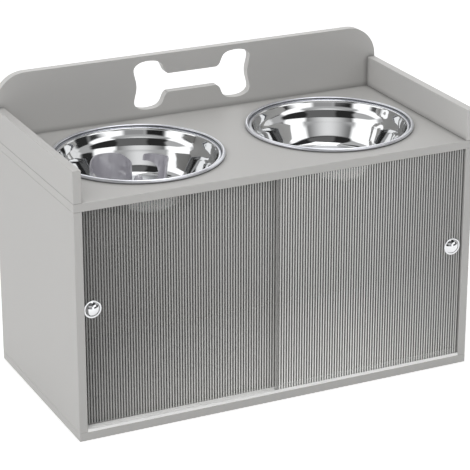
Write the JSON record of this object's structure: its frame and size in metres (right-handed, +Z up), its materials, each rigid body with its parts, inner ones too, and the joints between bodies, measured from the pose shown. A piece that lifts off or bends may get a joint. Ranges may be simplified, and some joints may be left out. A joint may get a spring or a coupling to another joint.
{
  "type": "elevated dog feeder with storage",
  "caption": "Raised feeding cabinet with lift-out steel bowls, a slow feeder insert, a backsplash with a bone cut-out and ribbed sliding doors.",
  "frame": {"origin": "on the floor, under the middle of the base board", "axes": "+X along the front from the left door to the right door, +Y from the doors to the backsplash, +Z up"},
  "size_m": [0.6, 0.3037, 0.432],
  "materials": {
    "laminated_board": "matt melamine face on board",
    "hardboard": "painted face, matt",
    "white_track_plastic": "satin extrusion",
    "zinc_plated_steel": "bright zinc plate",
    "zinc_alloy": "as cast",
    "beech": "plain",
    "ribbed_sheet": "glossy, ribbed front",
    "chrome_plate": "polished",
    "stainless_steel": "mirror polished",
    "insert_plastic": "satin"
  },
  "bodies": {
    "cabinet": {"base_board": "laminated_board", "left_side_panel": "laminated_board", "right_side_panel": "laminated_board", "top_board": "laminated_board", "back_panel": "hardboard", "backsplash": "laminated_board", "left_side_rail": "laminated_board", "right_side_rail": "laminated_board", "bottom_track": "white_track_plastic", "base_screws": "zinc_plated_steel", "cam_bolts": "zinc_plated_steel", "cam_locks": "zinc_alloy", "panel_dowels": "beech", "rail_dowels": "beech", "backsplash_screws": "zinc_plated_steel"},
    "left_sliding_door": {"left_door": "ribbed_sheet", "left_knob": "chrome_plate", "left_knob_screw": "zinc_plated_steel"},
    "right_sliding_door": {"right_door": "ribbed_sheet", "right_knob": "chrome_plate", "right_knob_screw": "zinc_plated_steel"},
    "left_lift_out_bowl": {"left_bowl": "stainless_steel"},
    "slow_feeder": {"slow_feeder_insert": "insert_plastic"},
    "right_lift_out_bowl": {"right_bowl": "stainless_steel"}
  },
  "joints": [
    {"name": "left_door_slide", "type": "slide", "parent": "cabinet", "child": "left_sliding_door", "axis": [1, 0, 0], "range_m": [0, 0.281]},
    {"name": "right_door_slide", "type": "slide", "parent": "cabinet", "child": "right_sliding_door", "axis": [-1, 0, 0], "range_m": [0, 0.281]},
    {"name": "left_bowl_lift", "type": "slide", "parent": "cabinet", "child": "left_lift_out_bowl", "axis": [0, 0, 1], "range_m": [0, 0.15]},
    {"name": "slow_feeder_lift", "type": "slide", "parent": "left_lift_out_bowl", "child": "slow_feeder", "axis": [0, 0, 1], "range_m": [0, 0.15]},
    {"name": "right_bowl_lift", "type": "slide", "parent": "cabinet", "child": "right_lift_out_bowl", "axis": [0, 0, 1], "range_m": [0, 0.15]}
  ]
}
